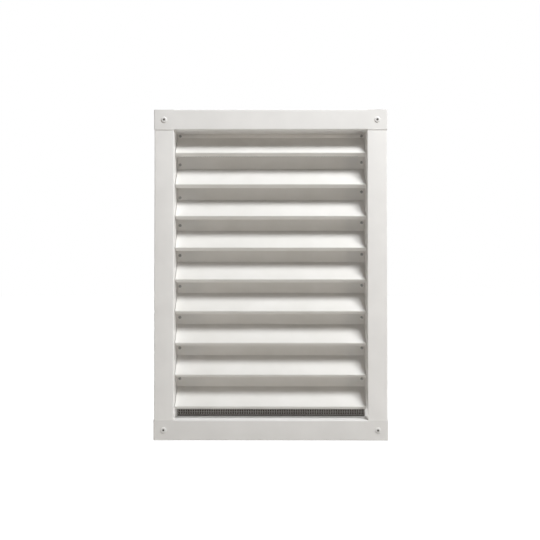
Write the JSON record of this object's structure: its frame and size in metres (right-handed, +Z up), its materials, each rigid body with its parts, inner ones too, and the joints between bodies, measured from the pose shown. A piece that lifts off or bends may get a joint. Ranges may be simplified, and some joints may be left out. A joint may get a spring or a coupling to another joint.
{
  "type": "gable vent",
  "caption": "Rectangular louvred gable vent: folded white aluminium frame with a wide front flange, fixed sloping blades and an insect screen behind them.",
  "frame": {"origin": "middle of the clear opening, in the plane of the wall that the folded edges of the front flange rest on", "axes": "+X to the right as seen from outside, +Y into the wall, +Z up"},
  "size_m": [0.3682, 0.045, 0.5206],
  "materials": {
    "frame_paint": "satin white baked enamel on aluminium sheet",
    "louver_paint": "satin white baked enamel on aluminium sheet",
    "screen_wire": "dull drawn wire",
    "painted_rivet": "satin white enamel on an aluminium rivet",
    "bare_rivet": "dull mill finish",
    "mandrel_steel": "dark snapped steel"
  },
  "bodies": {
    "root": {"top_rail": "frame_paint", "bottom_rail": "frame_paint", "left_stile": "frame_paint", "right_stile": "frame_paint", "louver_1": "louver_paint", "louver_2": "louver_paint", "louver_3": "louver_paint", "louver_4": "louver_paint", "louver_5": "louver_paint", "louver_6": "louver_paint", "louver_7": "louver_paint", "louver_8": "louver_paint", "louver_9": "louver_paint", "insect_screen": "screen_wire", "corner_rivets": "painted_rivet", "corner_rivet_mandrels": "mandrel_steel", "left_louver_rivets": "bare_rivet", "left_rivet_mandrels": "mandrel_steel", "right_louver_rivets": "bare_rivet", "right_rivet_mandrels": "mandrel_steel"}
  },
  "joints": []
}
